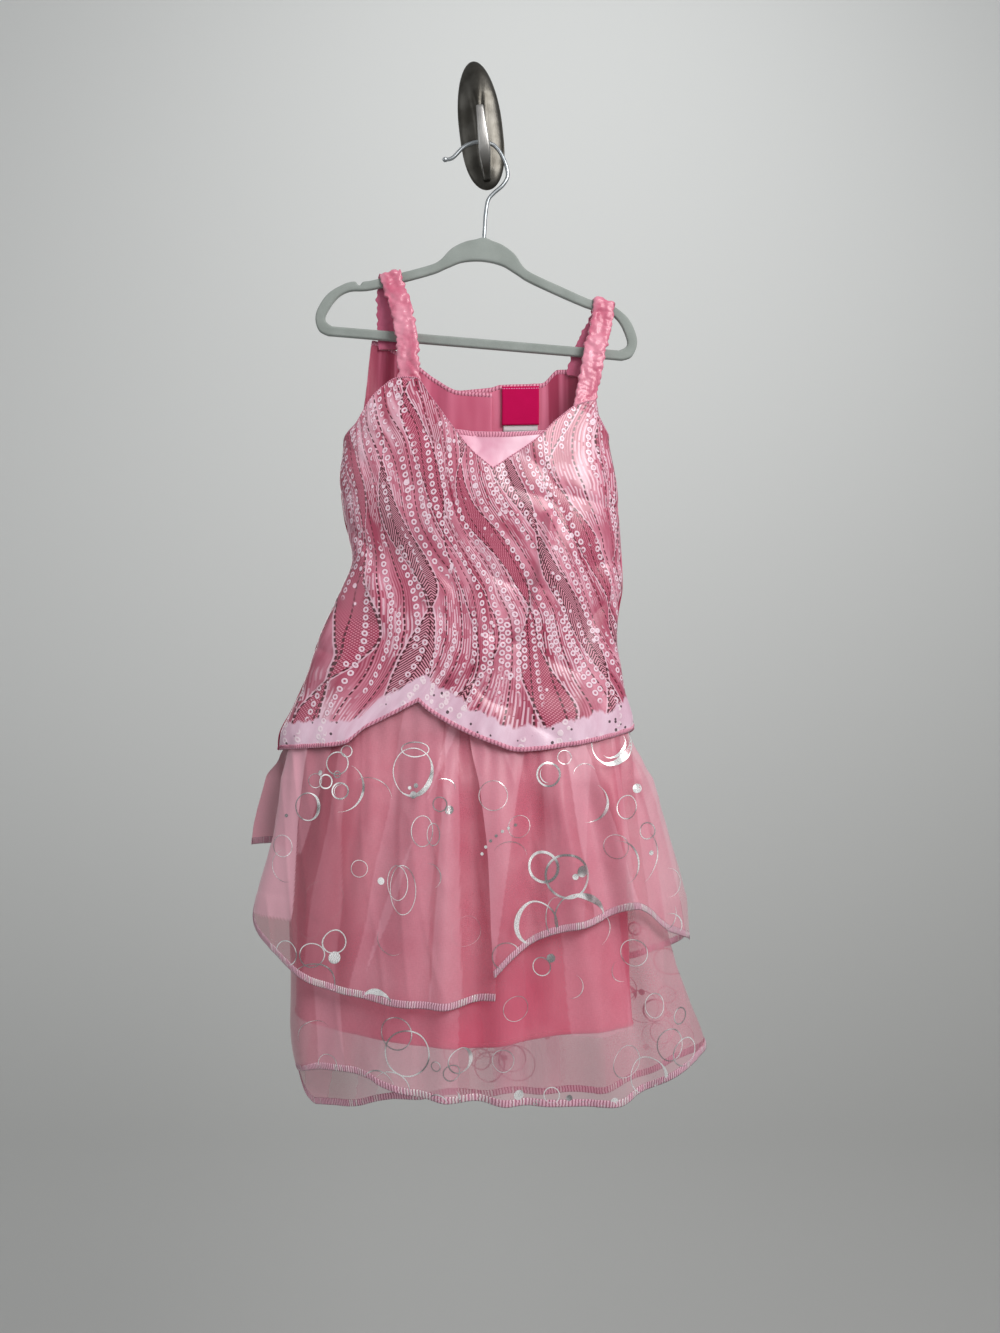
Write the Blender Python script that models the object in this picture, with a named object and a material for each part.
"""A child's costume dress, hanging on its hanger from a wall hook.

Metres, +Z up. The wall is the plane y = 0, the dress hangs in front of it at negative y, and the
origin is the middle of the wall hook's flat back. Each cut piece of cloth is a thin wall between a
top edge and a hem, laid on a half section whose sizes are read from a short table by height.
"""

from collections import namedtuple
from math import asin, cos, exp, pi, radians, sin

import bmesh
import bpy
from mathutils import Matrix, Vector

Section = namedtuple("Section", "z left right side full")
Body = namedtuple("Body", "z left right side front back")
Edge = namedtuple("Edge", "x z")
Fold = namedtuple("Fold", "x_top z_top x_low z_low width rise")
Lap = namedtuple("Lap", "start end depth")
Cloth = namedtuple("Cloth", "sections folds share lap")
Turn = namedtuple("Turn", "x y z dip slope")
Mark = namedtuple("Mark", "x z")

# Cloth and seams
SATIN = 0.0014
ORGANZA = 0.0010
KNIT = 0.0011
TAG = 0.0010
SEAM_GAP = 0.0003
LEFT_SEAM = -1.0
RIGHT_SEAM = 1.0
SHARP_ANGLE = radians(40)

# Wall hook: a domed oval plate, leaning a little, with a flat prong
PLATE_WIDTH = 0.0390
PLATE_HEIGHT = 0.1160
PLATE_DEPTH = 0.0085
PLATE_LEAN = radians(6.7)
PRONG_WIDTH = 0.0100
PRONG_TIP_SHARE = 0.52
PRONG_FULL_WIDTH_Z = -0.045

# Hanger: a flocked frame, tilted with its right end low, and a wire hook
HANGER_Y = -0.0240
HANGER_TOP = Vector((0.0035, HANGER_Y, -0.1100))
HANGER_TILT = radians(4.8)
HANGER_THICK = 0.0050
WIRE = 0.0034
WIRE_END_SWELL = 1.25
SOCKET_RADIUS = WIRE / 2 + 0.00015
SOCKET_TOP = Vector((0.0041, HANGER_Y, -0.1000))

# Straps of ruched satin over elastic
STRAP_WIDTH = 0.0190
STRAP_WALL = 0.0014
STRAP_RUCHES = 17
RUCHE_RISE = 0.0007
RUCHE_PINCH = 0.0011

# A panel that laps inside its neighbour moves in by the depth, between the two places in x
BACK_LAP = Lap(-0.0460, -0.0250, 0.0048)
PETAL_LAP = Lap(-0.0350, -0.0150, 0.0027)

# Back closure: the left back panel laps inside the right one, with three hook and loop tabs
LEFT_BACK_EDGE = 0.0104
RIGHT_BACK_EDGE = -0.0180
TAB_SIZE = 0.0140
TAB_WALL = 0.0011
TAB_MIDDLES = (Mark(-0.0030, -0.2560), Mark(0.0058, -0.3640), Mark(-0.0017, -0.4720))

# The bodice: outline of both sides, the side seams' depth, and the fullest line of front and back
BODICE = (
    Body(-0.190, -0.1120, 0.1120, -0.0270, -0.0420, -0.0110),
    Body(-0.250, -0.1142, 0.1120, -0.0290, -0.0520, -0.0090),
    Body(-0.290, -0.1185, 0.1130, -0.0300, -0.0600, -0.0080),
    Body(-0.324, -0.1222, 0.1184, -0.0310, -0.0660, -0.0070),
    Body(-0.357, -0.1179, 0.1208, -0.0320, -0.0680, -0.0065),
    Body(-0.391, -0.1110, 0.1232, -0.0330, -0.0670, -0.0065),
    Body(-0.415, -0.1190, 0.1240, -0.0335, -0.0670, -0.0065),
    Body(-0.437, -0.1303, 0.1205, -0.0340, -0.0680, -0.0065),
    Body(-0.463, -0.1411, 0.1190, -0.0350, -0.0700, -0.0065),
    Body(-0.486, -0.1476, 0.1223, -0.0360, -0.0720, -0.0065),
    Body(-0.506, -0.1562, 0.1250, -0.0365, -0.0745, -0.0065),
    Body(-0.523, -0.1640, 0.1300, -0.0370, -0.0775, -0.0065),
    Body(-0.541, -0.1734, 0.1330, -0.0375, -0.0805, -0.0065),
    Body(-0.558, -0.1750, 0.1330, -0.0375, -0.0825, -0.0065),
)
BODICE_FOLDS = (
    Fold(-0.100, -0.330, -0.060, -0.430, 0.012, -0.0030),
    Fold(-0.112, -0.360, -0.075, -0.470, 0.009, 0.0025),
    Fold(-0.030, -0.340, -0.045, -0.500, 0.018, 0.0030),
    Fold(0.040, -0.320, 0.030, -0.480, 0.016, -0.0028),
    Fold(0.075, -0.330, 0.060, -0.500, 0.016, 0.0035),
    Fold(0.104, -0.350, 0.092, -0.470, 0.010, -0.0030),
    Fold(-0.110, -0.440, -0.130, -0.530, 0.012, 0.0025),
)

# Skirt layers, front and back, from the waist seam inside the bodice down
UPPER_FRONT = (
    Section(-0.500, -0.1511, 0.1216, -0.0365, -0.0701),
    Section(-0.530, -0.1580, 0.1255, -0.0385, -0.0735),
    Section(-0.552, -0.1640, 0.1330, -0.0415, -0.0755),
    Section(-0.580, -0.1690, 0.1480, -0.0440, -0.0845),
    Section(-0.629, -0.1755, 0.1625, -0.0480, -0.0950),
    Section(-0.674, -0.1875, 0.1742, -0.0510, -0.1020),
    Section(-0.700, -0.1915, 0.1775, -0.0530, -0.1060),
    Section(-0.762, -0.1915, 0.1800, -0.0550, -0.1120),
)
UPPER_BACK = (
    Section(-0.500, -0.1511, 0.1216, -0.0365, -0.0145),
    Section(-0.540, -0.1630, 0.1265, -0.0355, -0.0152),
    Section(-0.560, -0.1715, 0.1325, -0.0345, -0.0148),
    Section(-0.579, -0.1850, 0.1440, -0.0330, -0.0105),
    Section(-0.614, -0.1950, 0.1560, -0.0300, -0.0065),
    Section(-0.640, -0.1986, 0.1635, -0.0290, -0.0045),
    Section(-0.674, -0.1986, 0.1710, -0.0290, -0.0045),
    Section(-0.716, -0.1986, 0.1790, -0.0290, -0.0045),
    Section(-0.760, -0.1986, 0.1790, -0.0290, -0.0045),
)
LOWER = (
    Body(-0.500, -0.1491, 0.1196, -0.0365, -0.0648, -0.0165),
    Body(-0.530, -0.1550, 0.1235, -0.0380, -0.0672, -0.0168),
    Body(-0.552, -0.1580, 0.1275, -0.0400, -0.0695, -0.0170),
    Body(-0.580, -0.1600, 0.1380, -0.0420, -0.0768, -0.0155),
    Body(-0.629, -0.1615, 0.1480, -0.0450, -0.0855, -0.0125),
    Body(-0.700, -0.1620, 0.1580, -0.0490, -0.0960, -0.0098),
    Body(-0.740, -0.1605, 0.1680, -0.0510, -0.1020, -0.0090),
    Body(-0.767, -0.1600, 0.1780, -0.0530, -0.1050, -0.0085),
    Body(-0.797, -0.1592, 0.1900, -0.0540, -0.1080, -0.0080),
    Body(-0.812, -0.1570, 0.1935, -0.0545, -0.1090, -0.0078),
    Body(-0.826, -0.1530, 0.1935, -0.0550, -0.1100, -0.0076),
    Body(-0.850, -0.1510, 0.1935, -0.0560, -0.1110, -0.0072),
    Body(-0.866, -0.1490, 0.1935, -0.0565, -0.1115, -0.0070),
)
UNDER = (
    Body(-0.500, -0.1469, 0.1174, -0.0365, -0.0625, -0.0186),
    Body(-0.552, -0.1510, 0.1210, -0.0395, -0.0638, -0.0200),
    Body(-0.629, -0.1535, 0.1240, -0.0455, -0.0680, -0.0205),
    Body(-0.700, -0.1550, 0.1262, -0.0500, -0.0740, -0.0205),
    Body(-0.742, -0.1555, 0.1273, -0.0515, -0.0770, -0.0205),
    Body(-0.808, -0.1555, 0.1305, -0.0530, -0.0830, -0.0205),
)

# Folds of the gathered skirt: ridges stand out, valleys (negative rise) fall in. A fold has its
# full rise from the first share of its length on, and fades near the seams below the cosine.
FOLD_START = 0.45
FOLD_FADE = 0.50
FRONT_FOLDS = (
    Fold(-0.112, -0.545, -0.138, -0.700, 0.017, 0.0070),
    Fold(-0.092, -0.545, -0.118, -0.720, 0.010, -0.0060),
    Fold(-0.065, -0.530, -0.083, -0.660, 0.015, -0.0090),
    Fold(-0.044, -0.530, -0.055, -0.700, 0.012, 0.0040),
    Fold(-0.0250, -0.535, -0.027, -0.740, 0.0110, 0.0080),
    Fold(-0.0050, -0.535, -0.001, -0.740, 0.0115, -0.0100),
    Fold(0.0180, -0.550, 0.022, -0.720, 0.018, 0.0045),
    Fold(0.0440, -0.550, 0.041, -0.680, 0.0110, -0.0080),
    Fold(0.0620, -0.555, 0.080, -0.660, 0.012, 0.0080),
    Fold(0.0830, -0.550, 0.106, -0.680, 0.012, -0.0080),
    Fold(0.1010, -0.545, 0.131, -0.676, 0.013, 0.0080),
    Fold(0.1180, -0.540, 0.150, -0.660, 0.010, -0.0050),
)
RIGHT_PETAL_FOLDS = tuple(fold for fold in FRONT_FOLDS if fold.x_top > 0.0)
UNDERSKIRT_SHARE = 0.35
BACK_FOLDS = (
    Fold(-0.125, -0.560, -0.150, -0.760, 0.014, -0.0060),
    Fold(-0.080, -0.540, -0.098, -0.760, 0.014, -0.0080),
    Fold(-0.040, -0.540, -0.050, -0.780, 0.013, -0.0070),
    Fold(0.000, -0.550, 0.004, -0.780, 0.014, -0.0090),
    Fold(0.040, -0.540, 0.050, -0.760, 0.013, -0.0070),
    Fold(0.080, -0.540, 0.102, -0.760, 0.013, -0.0080),
    Fold(0.112, -0.550, 0.142, -0.760, 0.012, -0.0060),
)

# Edges, from the left side seam to the right one
NECK_FRONT = (
    Edge(LEFT_SEAM, -0.2895),
    Edge(-0.1065, -0.2740),
    Edge(-0.0912, -0.2499),
    Edge(-0.0682, -0.2350),
    Edge(-0.0550, -0.2362),
    Edge(-0.0413, -0.2536),
    Edge(-0.0250, -0.2772),
    Edge(-0.0062, -0.3011),
    Edge(0.0116, -0.3167),
    Edge(0.0268, -0.3060),
    Edge(0.0489, -0.2904),
    Edge(0.0668, -0.2725),
    Edge(0.0858, -0.2583),
    Edge(0.0991, -0.2548),
    Edge(0.1055, -0.2740),
    Edge(RIGHT_SEAM, -0.2853),
)
HEM_FRONT = (
    Edge(LEFT_SEAM, -0.5560),
    Edge(-0.1243, -0.5508),
    Edge(-0.1111, -0.5483),
    Edge(-0.0947, -0.5352),
    Edge(-0.0652, -0.5207),
    Edge(-0.0507, -0.5132),
    Edge(-0.0412, -0.5214),
    Edge(-0.0081, -0.5399),
    Edge(0.0125, -0.5482),
    Edge(0.0332, -0.5543),
    Edge(0.0744, -0.5506),
    Edge(0.1178, -0.5424),
    Edge(RIGHT_SEAM, -0.5360),
)
NECK_BACK_LEFT = (
    Edge(LEFT_SEAM, -0.2895),
    Edge(-0.1040, -0.2640),
    Edge(-0.0949, -0.1980),
    Edge(-0.0700, -0.2080),
    Edge(-0.0400, -0.2296),
    Edge(-0.0200, -0.2409),
    Edge(LEFT_BACK_EDGE, -0.2430),
)
HEM_BACK_LEFT = (
    Edge(LEFT_SEAM, -0.5560),
    Edge(LEFT_BACK_EDGE, -0.5560),
)
NECK_BACK_RIGHT = (
    Edge(RIGHT_BACK_EDGE, -0.2400),
    Edge(0.0100, -0.2370),
    Edge(0.0175, -0.2348),
    Edge(0.0544, -0.2338),
    Edge(0.0688, -0.2225),
    Edge(0.0980, -0.2255),
    Edge(0.1045, -0.2640),
    Edge(RIGHT_SEAM, -0.2853),
)
HEM_BACK_RIGHT = (
    Edge(RIGHT_BACK_EDGE, -0.5560),
    Edge(0.0600, -0.5540),
    Edge(RIGHT_SEAM, -0.5380),
)
WAIST = (Edge(LEFT_SEAM, -0.5000), Edge(RIGHT_SEAM, -0.5000))
WAIST_LEFT = (Edge(LEFT_SEAM, -0.5000), Edge(0.0100, -0.5000))
WAIST_RIGHT = (Edge(-0.0080, -0.5000), Edge(RIGHT_SEAM, -0.5000))
UPPER_LEFT_HEM = (
    Edge(LEFT_SEAM, -0.6900),
    Edge(-0.1850, -0.7069),
    Edge(-0.1722, -0.7177),
    Edge(-0.1534, -0.7310),
    Edge(-0.1106, -0.7503),
    Edge(-0.0659, -0.7562),
    Edge(-0.0202, -0.7570),
    Edge(0.0135, -0.7520),
)
UPPER_RIGHT_HEM = (
    Edge(0.0127, -0.7328),
    Edge(0.0279, -0.7184),
    Edge(0.0597, -0.7006),
    Edge(0.1000, -0.6915),
    Edge(0.1293, -0.6819),
    Edge(0.1587, -0.7046),
    Edge(RIGHT_SEAM, -0.7160),
)
UPPER_BACK_HEM = (
    Edge(LEFT_SEAM, -0.6388),
    Edge(-0.1840, -0.6388),
    Edge(-0.1200, -0.6900),
    Edge(-0.0500, -0.7300),
    Edge(0.0200, -0.7500),
    Edge(0.1000, -0.7480),
    Edge(0.1500, -0.7350),
    Edge(RIGHT_SEAM, -0.7160),
)
LOWER_FRONT_HEM = (
    Edge(LEFT_SEAM, -0.8241),
    Edge(-0.1257, -0.8170),
    Edge(-0.0918, -0.8191),
    Edge(-0.0771, -0.8239),
    Edge(-0.0392, -0.8300),
    Edge(0.0346, -0.8365),
    Edge(0.1142, -0.8368),
    Edge(0.1308, -0.8321),
    Edge(0.1686, -0.8144),
    Edge(RIGHT_SEAM, -0.8032),
)
LOWER_BACK_HEM = (
    Edge(LEFT_SEAM, -0.8241),
    Edge(-0.1480, -0.8480),
    Edge(-0.1400, -0.8600),
    Edge(-0.1080, -0.8650),
    Edge(0.1000, -0.8600),
    Edge(0.1400, -0.8430),
    Edge(0.1700, -0.8250),
    Edge(RIGHT_SEAM, -0.8032),
)
UNDER_FRONT_HEM = (
    Edge(LEFT_SEAM, -0.7760),
    Edge(-0.1390, -0.7830),
    Edge(-0.0780, -0.7935),
    Edge(-0.0020, -0.7990),
    Edge(0.0710, -0.7890),
    Edge(RIGHT_SEAM, -0.7880),
)
UNDER_BACK_HEM = (
    Edge(LEFT_SEAM, -0.7760),
    Edge(0.0000, -0.8030),
    Edge(RIGHT_SEAM, -0.7880),
)

# Where small pieces lie on the panel that carries them
INSET_GAP = 0.0008
INSET_TOP = (Edge(-0.0330, -0.2820), Edge(0.0180, -0.2848), Edge(0.0690, -0.2820))
INSET_HEM = (Edge(-0.0060, -0.3220), Edge(0.0116, -0.3250), Edge(0.0290, -0.3220))
LABEL = (0.0193, 0.0523, -0.2365, -0.2705)
CARE_LABEL = (0.0205, 0.0510, -0.2365, -0.2760)

# Straps, from inside the front panel over the hanger's arm to inside the back panel. The last
# columns are the slopes of the strap's width in y and z, which follow the panels at both ends and
# the arm where the strap crosses it.
STRAP_TUCK = 0.0080
STRAP_STEP = 0.0032
STRAP_SINK = 0.0015
STRAP_LEFT_FRONT = Edge(-0.0605, -0.2400)
STRAP_LEFT_BACK = Edge(-0.0800, -0.2100)
STRAP_LEFT = (
    Turn(-0.0615, -0.0414, -0.2220, -0.10, 0.00),
    Turn(-0.0622, -0.0395, -0.2050, -0.04, 0.05),
    Turn(-0.0650, -0.0368, -0.1880, 0.00, 0.12),
    Turn(-0.0690, -0.0328, -0.1700, 0.00, 0.20),
    Turn(-0.0745, -0.0284, -0.1550, 0.00, 0.26),
    Turn(-0.0772, -0.0273, -0.1450, 0.00, 0.27),
    Turn(-0.0779, -0.0269, -0.1421, 0.00, 0.27),
    Turn(-0.0785, -0.0240, -0.1416, 0.00, 0.27),
    Turn(-0.0791, -0.0211, -0.1421, 0.00, 0.27),
    Turn(-0.0798, -0.0207, -0.1450, 0.00, 0.27),
    Turn(-0.0812, -0.0200, -0.1560, 0.00, 0.20),
    Turn(-0.0812, -0.0199, -0.1720, 0.00, 0.10),
    Turn(-0.0805, -0.0197, -0.1930, 0.06, 0.05),
)
STRAP_RIGHT_FRONT = Edge(0.0905, -0.2640)
STRAP_RIGHT_BACK = Edge(0.0852, -0.2340)
STRAP_RIGHT = (
    Turn(0.0930, -0.0366, -0.2440, 0.20, 0.00),
    Turn(0.0970, -0.0355, -0.2250, 0.08, -0.05),
    Turn(0.1000, -0.0335, -0.2080, 0.00, -0.12),
    Turn(0.1040, -0.0305, -0.1930, 0.00, -0.20),
    Turn(0.1068, -0.0283, -0.1790, 0.00, -0.28),
    Turn(0.1080, -0.0273, -0.1695, 0.00, -0.30),
    Turn(0.1083, -0.0270, -0.1661, 0.00, -0.30),
    Turn(0.1085, -0.0240, -0.1656, 0.00, -0.30),
    Turn(0.1083, -0.0210, -0.1661, 0.00, -0.30),
    Turn(0.1080, -0.0207, -0.1695, 0.00, -0.30),
    Turn(0.1055, -0.0202, -0.1800, 0.00, -0.20),
    Turn(0.0975, -0.0201, -0.1960, -0.02, -0.10),
    Turn(0.0890, -0.0203, -0.2140, -0.09, 0.00),
)

# Half of the hanger frame's outline in its own untilted axes, from the middle to the bar
HANGER_OUTER = (
    Mark(0.0000, 0.0000),
    Mark(0.0170, -0.0042),
    Mark(0.0280, -0.0115),
    Mark(0.0365, -0.0218),
    Mark(0.0455, -0.0272),
    Mark(0.0930, -0.0442),
    Mark(0.1180, -0.0495),
    Mark(0.1315, -0.0590),
    Mark(0.1393, -0.0720),
    Mark(0.1410, -0.0825),
    Mark(0.1370, -0.0925),
    Mark(0.1290, -0.0962),
)
HANGER_INNER = (
    Mark(0.0000, -0.0200),
    Mark(0.0170, -0.0223),
    Mark(0.0300, -0.0285),
    Mark(0.0455, -0.0362),
    Mark(0.0930, -0.0527),
    Mark(0.1130, -0.0560),
    Mark(0.1240, -0.0636),
    Mark(0.1318, -0.0780),
    Mark(0.1312, -0.0842),
    Mark(0.1255, -0.0876),
)
WIRE_ROUTE = (
    Mark(-0.0306, -0.0408),
    Mark(-0.0225, -0.0380),
    Mark(-0.0149, -0.0303),
    Mark(-0.0066, -0.0262),
    Mark(0.0034, -0.0252),
    Mark(0.0133, -0.0292),
    Mark(0.0210, -0.0410),
    Mark(0.0243, -0.0541),
    Mark(0.0201, -0.0629),
    Mark(0.0123, -0.0699),
    Mark(0.0070, -0.0765),
    Mark(0.0048, -0.0890),
    Mark(0.0041, -0.1000),
    Mark(0.0034, -0.1100),
    Mark(0.0028, -0.1180),
)
# The prong seen from its side: here x is the distance out from the wall
PRONG_SIDE = (
    Mark(0.0010, -0.0520),
    Mark(0.0130, -0.0525),
    Mark(0.0240, -0.0500),
    Mark(0.0330, -0.0420),
    Mark(0.0385, -0.0290),
    Mark(0.0403, -0.0140),
    Mark(0.0398, -0.0020),
    Mark(0.0380, 0.0005),
    Mark(0.0362, -0.0020),
    Mark(0.0345, -0.0120),
    Mark(0.0315, -0.0228),
    Mark(0.0280, -0.0280),
    Mark(0.0235, -0.0294),
    Mark(0.0160, -0.0282),
    Mark(0.0085, -0.0228),
    Mark(0.0010, -0.0200),
)


def clear_scene():
    for found in list(bpy.data.objects):
        bpy.data.objects.remove(found, do_unlink=True)


def collection(name, hidden=False):
    made = bpy.data.collections.new(name)
    made.hide_render = hidden
    bpy.context.scene.collection.children.link(made)
    return made


def material(name, colour, roughness, metallic=0.0):
    made = bpy.data.materials.new(name)
    made.use_nodes = True
    shader = made.node_tree.nodes["Principled BSDF"]
    shader.inputs["Base Color"].default_value = (*colour, 1.0)
    shader.inputs["Roughness"].default_value = roughness
    shader.inputs["Metallic"].default_value = metallic
    return made


def place_mesh(name, mesh, finish, group, smooth=True):
    made = bpy.data.objects.new(name, mesh)
    mesh.materials.clear()
    mesh.materials.append(finish)
    if smooth:
        mesh.shade_smooth()
        mesh.set_sharp_from_angle(angle=SHARP_ANGLE)
    group.objects.link(made)
    return made


def smooth_step(value):
    clamped = min(1.0, max(0.0, value))
    return clamped * clamped * (3.0 - 2.0 * clamped)


def hermite(before, start, end, after, share):
    """A value on a smooth curve through four rows, share of the way from start to end."""
    leave = (end - before) / 2.0
    arrive = (after - start) / 2.0
    square = share * share
    cube = square * share
    return (
        (2 * cube - 3 * square + 1) * start
        + (cube - 2 * square + share) * leave
        + (3 * square - 2 * cube) * end
        + (cube - square) * arrive
    )


def smooth_run(rows, pieces):
    """Points on a smooth open curve through the rows, with the given pieces between neighbours."""
    points = [Vector(row) for row in rows]
    run = []
    for index in range(len(points) - 1):
        before = points[max(index - 1, 0)]
        after = points[min(index + 2, len(points) - 1)]
        for piece in range(pieces):
            share = piece / pieces
            run.append(hermite(before, points[index], points[index + 1], after, share))
    run.append(points[-1])
    return run


def front_and_back(bodies):
    """The half sections of a front and a back that share their side seams."""
    fronts = tuple(Section(b.z, b.left, b.right, b.side, b.front) for b in bodies)
    backs = tuple(Section(b.z, b.left, b.right, b.side, b.back) for b in bodies)
    return fronts, backs


def read(sections, z):
    """The section at height z, on straight lines between the table's rows, eased at each row."""
    if z >= sections[0].z:
        return sections[0]
    for upper, lower in zip(sections, sections[1:]):
        if z >= lower.z:
            index = sections.index(upper)
            before = sections[max(index - 1, 0)]
            after = sections[min(index + 2, len(sections) - 1)]
            share = (upper.z - z) / (upper.z - lower.z)
            values = [hermite(*four, share) for four in zip(before, upper, lower, after)]
            return Section(*values)
    return sections[-1]


def fold_rise(folds, x, z):
    """How far the folds stand out at one place: each starts narrow and flat, and grows downwards."""
    rise = 0.0
    for fold in folds:
        along = (fold.z_top - z) / (fold.z_top - fold.z_low)
        if along <= 0.0:
            continue
        middle = fold.x_top + (fold.x_low - fold.x_top) * along
        spread = fold.width * (0.75 + 0.35 * min(along, 1.4))
        off = (x - middle) / spread
        rise += fold.rise * smooth_step(along / FOLD_START) * exp(-off * off)
    return rise


def bodice_rise(folds, x, z):
    """The bodice's folds die out at both ends."""
    rise = 0.0
    for fold in folds:
        along = (fold.z_top - z) / (fold.z_top - fold.z_low)
        if not 0.0 < along < 1.0:
            continue
        middle = fold.x_top + (fold.x_low - fold.x_top) * along
        off = (x - middle) / fold.width
        rise += fold.rise * sin(pi * along) ** 2 * exp(-off * off)
    return rise


def on_cloth(cloth, angle, z):
    """A point of the panel's outer face. The angle runs from -90 to 90 degrees between seams."""
    row = read(cloth.sections, z)
    depth = row.full - row.side
    limit = pi / 2 - SEAM_GAP / (1.6 * abs(depth))
    angle = min(limit, max(-limit, angle))
    x = (row.left + row.right) / 2 + (row.right - row.left) / 2 * sin(angle)
    y = row.side + depth * cos(angle)
    out = -1.0 if depth < 0 else 1.0
    if cloth.folds:
        rises = bodice_rise if cloth.folds is BODICE_FOLDS else fold_rise
        fade = smooth_step(cos(angle) / FOLD_FADE)
        y += out * cloth.share * fade * rises(cloth.folds, x, z)
    if cloth.lap:
        y -= out * cloth.lap.depth * smooth_step(
            (x - cloth.lap.start) / (cloth.lap.end - cloth.lap.start)
        )
    return Vector((x, y, z))


def outward(cloth, angle, z):
    """The panel's normal, away from the body that the dress would hold."""
    turn = 0.01
    drop = 0.0015
    if angle > 0:
        across = on_cloth(cloth, angle, z) - on_cloth(cloth, angle - turn, z)
    else:
        across = on_cloth(cloth, angle + turn, z) - on_cloth(cloth, angle, z)
    up = on_cloth(cloth, angle, z + drop) - on_cloth(cloth, angle, z - drop)
    normal = across.cross(up).normalized()
    row = read(cloth.sections, z)
    return normal if row.full < row.side else -normal


def angle_at(cloth, edge):
    row = read(cloth.sections, edge.z)
    reach = (edge.x - (row.left + row.right) / 2) / ((row.right - row.left) / 2)
    return asin(min(1.0, max(-1.0, reach)))


def edge_run(cloth, edges):
    """Each row of an edge as (share of the edge's length, angle, z)."""
    angles = [angle_at(cloth, edge) for edge in edges]
    span = angles[-1] - angles[0]
    return [((angle - angles[0]) / span, angle, edge.z) for angle, edge in zip(angles, edges)]


def along_edge(run, share):
    for (start, angle, z), (end, next_angle, next_z) in zip(run, run[1:]):
        if share <= end + 1e-9:
            part = (share - start) / (end - start)
            return angle + (next_angle - angle) * part, z + (next_z - z) * part
    return run[-1][1:]


def column_shares(runs, columns):
    """Shares for a panel's columns: one at each row of its edges, and even steps between."""
    kept = [row[0] for row in runs[0]]
    for mark, _, _ in runs[1]:
        if min(abs(mark - other) for other in kept) > 0.4 / columns:
            kept.append(mark)
    kept.sort()
    shares = [0.0]
    for start, end in zip(kept, kept[1:]):
        pieces = max(1, round((end - start) * columns))
        shares += [start + (end - start) * (piece + 1) / pieces for piece in range(pieces)]
    return shares


def slab(name, columns, rows, place, finish, group):
    """A thin closed wall: a grid and its copy, joined round the rim, with each point put in place.

    place takes shares across and down the grid, and 0 for the outer face or 1 for the inner one.
    """
    bm = bmesh.new()
    bmesh.ops.create_grid(bm, x_segments=columns, y_segments=rows, size=0.5)
    copied = bmesh.ops.extrude_face_region(bm, geom=bm.faces[:], use_keep_orig=True)
    for vert in (item for item in copied["geom"] if isinstance(item, bmesh.types.BMVert)):
        vert.co.z = 1.0
    for vert in bm.verts:
        across, down, inner = vert.co.x + 0.5, 0.5 - vert.co.y, vert.co.z
        vert.co = place(across, down, inner)
    bmesh.ops.recalc_face_normals(bm, faces=bm.faces[:])
    mesh = bpy.data.meshes.new(name)
    bm.to_mesh(mesh)
    bm.free()
    return place_mesh(name, mesh, finish, group)


def panel(name, cloth, top, hem, wall, columns, rows, finish, group, under=0.0):
    """A cut piece between its top edge and its hem, moved under the face of its cloth if asked."""
    runs = (edge_run(cloth, top), edge_run(cloth, hem))
    shares = column_shares(runs, columns)
    last = len(shares) - 1

    def place(across, down, inner):
        share = shares[round(across * last)]
        top_angle, top_z = along_edge(runs[0], share)
        hem_angle, hem_z = along_edge(runs[1], share)
        angle = top_angle + (hem_angle - top_angle) * down
        z = top_z + (hem_z - top_z) * down
        return on_cloth(cloth, angle, z) - outward(cloth, angle, z) * (under + wall * inner)

    return slab(name, last, rows, place, finish, group)


def patch(name, cloth, area, wall, under, finish, group):
    """A small flat piece that lies inside a panel, made from the panel's own points."""
    left, right, top, bottom = area
    top_edge = (Edge(left, top), Edge(right, top))
    low_edge = (Edge(left, bottom), Edge(right, bottom))
    return panel(name, cloth, top_edge, low_edge, wall, 3, 3, finish, group, under)


def tucked(cloth, edge, drop):
    """The strap's inner line and its width's way, where it is sewn inside a panel."""
    z = edge.z - drop
    angle = angle_at(cloth, Edge(edge.x, z))
    normal = outward(cloth, angle, z)
    depth = SATIN + STRAP_SINK + STRAP_WALL + RUCHE_RISE
    across = on_cloth(cloth, angle + 0.05, z) - on_cloth(cloth, angle - 0.05, z)
    return on_cloth(cloth, angle, z) - normal * depth, across / across.x


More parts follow.
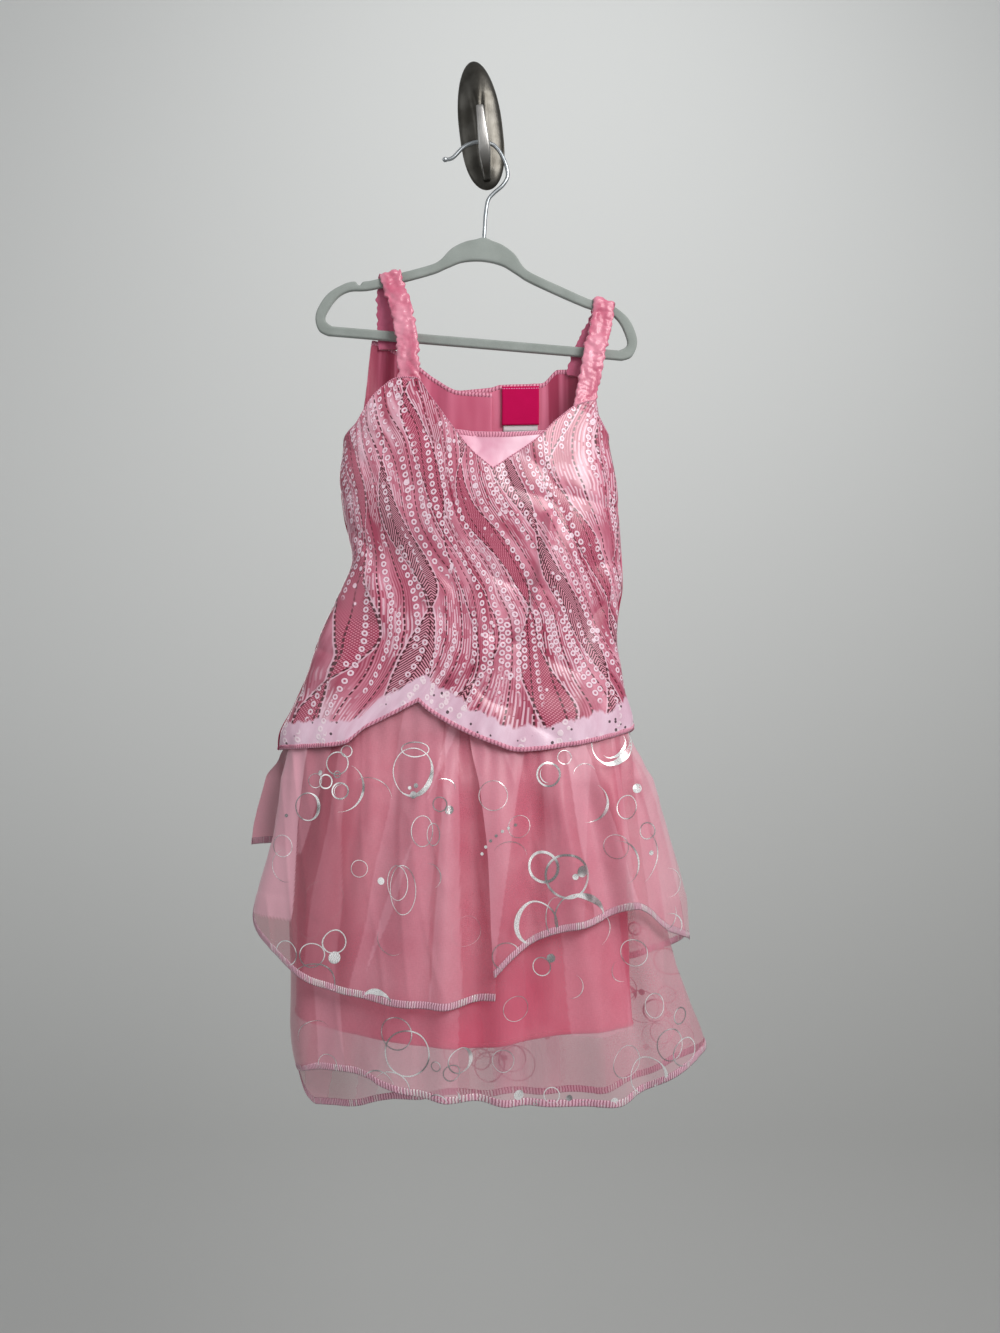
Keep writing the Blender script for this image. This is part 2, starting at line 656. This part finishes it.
def strap(name, turns, front_cloth, front, back_cloth, back, finish, group):
    """A band whose width and thickness swell and pinch with the gathers of its casing."""
    stops = [tucked(front_cloth, front, STRAP_TUCK), tucked(front_cloth, front, 0.0)]
    stops += [(Vector(turn[:3]), Vector((1.0, turn.dip, turn.slope))) for turn in turns]
    stops += [tucked(back_cloth, back, 0.0), tucked(back_cloth, back, STRAP_TUCK)]
    line = []
    ways = []
    for index in range(len(stops) - 1):
        around = [stops[min(max(index + step, 0), len(stops) - 1)] for step in (-1, 0, 1, 2)]
        pieces = max(1, round((around[2][0] - around[1][0]).length / STRAP_STEP))
        for piece in range(pieces):
            line.append(hermite(*(stop[0] for stop in around), piece / pieces))
            ways.append(hermite(*(stop[1] for stop in around), piece / pieces))
    line.append(stops[-1][0])
    ways.append(stops[-1][1])
    last = len(line) - 1
    lengths = [0.0]
    for start, end in zip(line, line[1:]):
        lengths.append(lengths[-1] + (end - start).length)

    def place(across, down, inner):
        index = round(down * last)
        run = (line[min(index + 1, last)] - line[max(index - 1, 0)]).normalized()
        width_way = (ways[index] - run * ways[index].dot(run)).normalized()
        out = width_way.cross(run)
        wave = cos(2 * pi * STRAP_RUCHES * lengths[index] / lengths[-1])
        half = STRAP_WIDTH / 2 + RUCHE_PINCH * wave / 2
        thick = STRAP_WALL + RUCHE_RISE * (1 + wave) / 2 if inner < 0.5 else 0.0
        return line[index] + width_way * (2 * across - 1) * half + out * thick

    return slab(name, 3, last, place, finish, group)


def flat_shape(name, outlines, thick, finish, group):
    """A flat plate in the x-z plane, with holes where outlines lie inside each other."""
    curve = bpy.data.curves.new(name, "CURVE")
    curve.dimensions = "2D"
    curve.fill_mode = "BOTH"
    curve.extrude = thick / 2
    for outline in outlines:
        spline = curve.splines.new("POLY")
        spline.points.add(len(outline) - 1)
        for point, mark in zip(spline.points, outline):
            point.co = (mark[0], mark[1], 0.0, 1.0)
        spline.use_cyclic_u = True
    made = bpy.data.objects.new(name, curve)
    made.data.materials.append(finish)
    made.rotation_euler = (pi / 2, 0.0, 0.0)
    group.objects.link(made)
    return made


def mirrored_run(half, pieces):
    """A whole outline from its right half: over the top from one end of the bar to the other."""
    right = [(mark.x, mark.z, 0.0) for mark in reversed(half)]
    left = [(-mark.x, mark.z, 0.0) for mark in half[1:]]
    return smooth_run(right + left, pieces)


def as_mesh(made, group):
    """The curve object's evaluated mesh as a new object with welded caps."""
    bpy.context.view_layer.update()
    evaluated = made.evaluated_get(bpy.context.evaluated_depsgraph_get())
    mesh = bpy.data.meshes.new_from_object(evaluated)
    bm = bmesh.new()
    bm.from_mesh(mesh)
    bmesh.ops.remove_doubles(bm, verts=bm.verts[:], dist=0.00001)
    bm.to_mesh(mesh)
    bm.free()
    name = made.name
    matrix = made.matrix_world.copy()
    bpy.data.objects.remove(made, do_unlink=True)
    solid = bpy.data.objects.new(name, mesh)
    solid.matrix_world = matrix
    group.objects.link(solid)
    return solid


def wall_hook(finish, group, cutters):
    """Half an ellipsoid, flat against the wall, joined with the prong that stands out from it."""
    bm = bmesh.new()
    bmesh.ops.create_uvsphere(bm, u_segments=26, v_segments=14, radius=1.0)
    reach = Vector((PLATE_WIDTH / 2, PLATE_DEPTH, PLATE_HEIGHT / 2))
    bmesh.ops.scale(bm, verts=bm.verts[:], vec=reach)
    cut = bmesh.ops.bisect_plane(
        bm, geom=bm.verts[:] + bm.edges[:] + bm.faces[:], plane_co=(0, 0, 0), plane_no=(0, 1, 0),
        clear_outer=True, dist=1e-6,
    )
    rim = [item for item in cut["geom_cut"] if isinstance(item, bmesh.types.BMEdge)]
    bmesh.ops.holes_fill(bm, edges=rim)
    bmesh.ops.remove_doubles(bm, verts=bm.verts[:], dist=0.00001)
    bmesh.ops.recalc_face_normals(bm, faces=bm.faces[:])
    mesh = bpy.data.meshes.new("wall_hook")
    bm.to_mesh(mesh)
    bm.free()
    plate = place_mesh("wall_hook", mesh, finish, group)
    plate.rotation_euler = (0.0, -PLATE_LEAN, 0.0)

    side = smooth_run([(-mark.x, mark.z, 0.0) for mark in PRONG_SIDE], 2)
    prong = as_mesh(flat_shape("prong", [side], PRONG_WIDTH, finish, cutters), cutters)
    for vert in prong.data.vertices:
        share = smooth_step(vert.co.y / PRONG_FULL_WIDTH_Z)
        vert.co.z *= PRONG_TIP_SHARE + (1.0 - PRONG_TIP_SHARE) * share
    prong.matrix_world = (
        Matrix.Rotation(-PLATE_LEAN, 4, "Y")
        @ Matrix.Rotation(pi / 2, 4, "Z")
        @ Matrix.Rotation(pi / 2, 4, "X")
    )
    prong.display_type = "WIRE"
    prong.hide_render = True
    join = plate.modifiers.new("prong", "BOOLEAN")
    join.operation = "UNION"
    join.object = prong
    return plate


def hanger_frame(finish, group, cutters):
    """The flocked plate, with a socket in its top for the end of the wire."""
    outlines = [mirrored_run(HANGER_OUTER, 3), mirrored_run(HANGER_INNER, 3)]
    plate = flat_shape("hanger_frame", outlines, HANGER_THICK, finish, group)
    plate.location = HANGER_TOP
    plate.rotation_euler = (pi / 2, HANGER_TILT, 0.0)
    frame = as_mesh(plate, group)

    wire_end = Vector((WIRE_ROUTE[-1].x, HANGER_Y, WIRE_ROUTE[-1].z))
    down = (wire_end - SOCKET_TOP).normalized()
    floor = wire_end + down * SEAM_GAP
    bm = bmesh.new()
    bmesh.ops.create_cone(
        bm, cap_ends=True, segments=16, radius1=SOCKET_RADIUS, radius2=SOCKET_RADIUS,
        depth=(floor - SOCKET_TOP).length,
    )
    mesh = bpy.data.meshes.new("wire_socket")
    bm.to_mesh(mesh)
    bm.free()
    socket = bpy.data.objects.new("wire_socket", mesh)
    socket.location = (floor + SOCKET_TOP) / 2
    socket.rotation_euler = down.to_track_quat("Z", "Y").to_euler()
    cutters.objects.link(socket)
    socket.display_type = "WIRE"
    socket.hide_render = True
    cut = frame.modifiers.new("wire socket", "BOOLEAN")
    cut.operation = "DIFFERENCE"
    cut.object = socket
    return frame


def hanger_hook(finish, group):
    """The wire hook: over the prong, round and down into the frame's socket."""
    curve = bpy.data.curves.new("hanger_hook", "CURVE")
    curve.dimensions = "3D"
    curve.bevel_depth = WIRE / 2
    curve.bevel_resolution = 2
    curve.use_fill_caps = True
    route = smooth_run([(mark.x, HANGER_Y, mark.z) for mark in WIRE_ROUTE], 3)
    spline = curve.splines.new("POLY")
    spline.points.add(len(route) - 1)
    for point, place in zip(spline.points, route):
        point.co = (*place, 1.0)
    for point in spline.points[:2]:
        point.radius = WIRE_END_SWELL
    made = bpy.data.objects.new("hanger_hook", curve)
    curve.materials.append(finish)
    group.objects.link(made)
    return made


def main():
    clear_scene()
    group = collection("costume_dress")
    cutters = collection("cutters", hidden=True)

    pewter = material("pewter", (0.12, 0.11, 0.10), 0.30, 1.0)
    steel = material("zinc_wire", (0.62, 0.62, 0.62), 0.25, 1.0)
    flock = material("grey_flock", (0.38, 0.41, 0.39), 0.95)
    print_satin = material("printed_satin", (0.62, 0.17, 0.25), 0.40)
    back_satin = material("back_satin", (0.60, 0.11, 0.20), 0.45)
    plain_satin = material("pale_satin", (0.85, 0.48, 0.55), 0.30)
    organza = material("pink_organza", (0.80, 0.36, 0.45), 0.35)
    lining = material("coral_knit", (0.76, 0.15, 0.22), 0.70)
    hot_pink = material("hot_pink_tag", (0.80, 0.02, 0.20), 0.50)
    white = material("white_tag", (0.85, 0.82, 0.82), 0.60)
    tape = material("pink_tape", (0.70, 0.18, 0.30), 0.80)

    front_rows, back_rows = front_and_back(BODICE)
    lower_front_rows, lower_back_rows = front_and_back(LOWER)
    under_front_rows, under_back_rows = front_and_back(UNDER)
    bodice_front = Cloth(front_rows, BODICE_FOLDS, 1.0, None)
    back_left = Cloth(back_rows, (), 0.0, BACK_LAP)
    back_right = Cloth(back_rows, (), 0.0, None)
    upper_left = Cloth(UPPER_FRONT, FRONT_FOLDS, 1.0, PETAL_LAP)
    upper_right = Cloth(UPPER_FRONT, RIGHT_PETAL_FOLDS, 1.0, None)
    upper_back = Cloth(UPPER_BACK, BACK_FOLDS, 1.0, None)
    lower_front = Cloth(lower_front_rows, FRONT_FOLDS, 1.0, None)
    lower_back = Cloth(lower_back_rows, BACK_FOLDS, 1.0, None)
    under_front = Cloth(under_front_rows, FRONT_FOLDS, UNDERSKIRT_SHARE, None)
    under_back = Cloth(under_back_rows, BACK_FOLDS, UNDERSKIRT_SHARE, None)

    wall_hook(pewter, group, cutters)
    hanger_frame(flock, group, cutters)
    hanger_hook(steel, group)

    panel("bodice_front", bodice_front, NECK_FRONT, HEM_FRONT, SATIN, 30, 14, print_satin, group)
    panel("bodice_back_left", back_left, NECK_BACK_LEFT, HEM_BACK_LEFT, SATIN, 14, 10,
          back_satin, group)
    panel("bodice_back_right", back_right, NECK_BACK_RIGHT, HEM_BACK_RIGHT, SATIN, 14, 10,
          back_satin, group)
    panel("neck_inset", bodice_front, INSET_TOP, INSET_HEM, SATIN, 8, 3, plain_satin, group,
          under=SATIN + INSET_GAP)

    strap("strap_left", STRAP_LEFT, bodice_front, STRAP_LEFT_FRONT, back_left, STRAP_LEFT_BACK,
          plain_satin, group)
    strap("strap_right", STRAP_RIGHT, bodice_front, STRAP_RIGHT_FRONT, back_right,
          STRAP_RIGHT_BACK, plain_satin, group)

    panel("underskirt_front", under_front, WAIST, UNDER_FRONT_HEM, KNIT, 20, 7, lining, group)
    panel("underskirt_back", under_back, WAIST, UNDER_BACK_HEM, KNIT, 20, 6, lining, group)
    panel("lower_tier_front", lower_front, WAIST, LOWER_FRONT_HEM, ORGANZA, 34, 10, organza, group)
    panel("lower_tier_back", lower_back, WAIST, LOWER_BACK_HEM, ORGANZA, 26, 8, organza, group)
    panel("upper_tier_left", upper_left, WAIST_LEFT, UPPER_LEFT_HEM, ORGANZA, 24, 10, organza, group)
    panel("upper_tier_right", upper_right, WAIST_RIGHT, UPPER_RIGHT_HEM, ORGANZA, 22, 9, organza,
          group)
    panel("upper_tier_back", upper_back, WAIST, UPPER_BACK_HEM, ORGANZA, 24, 7, organza, group)

    patch("care_label", back_right, CARE_LABEL, TAG, SATIN + SEAM_GAP, white, group)
    patch("label_tab", back_right, LABEL, TAG, SATIN + TAG + 2 * SEAM_GAP, hot_pink, group)
    half = TAB_SIZE / 2
    for number, middle in enumerate(TAB_MIDDLES, start=1):
        area = (middle.x - half, middle.x + half, middle.z + half, middle.z - half)
        loop_under = SATIN + SEAM_GAP
        hook_under = loop_under + TAB_WALL + SEAM_GAP
        patch(f"loop_tab_{number}", back_right, area, TAB_WALL, loop_under, tape, group)
        patch(f"hook_tab_{number}", back_right, area, TAB_WALL, hook_under, tape, group)


main()
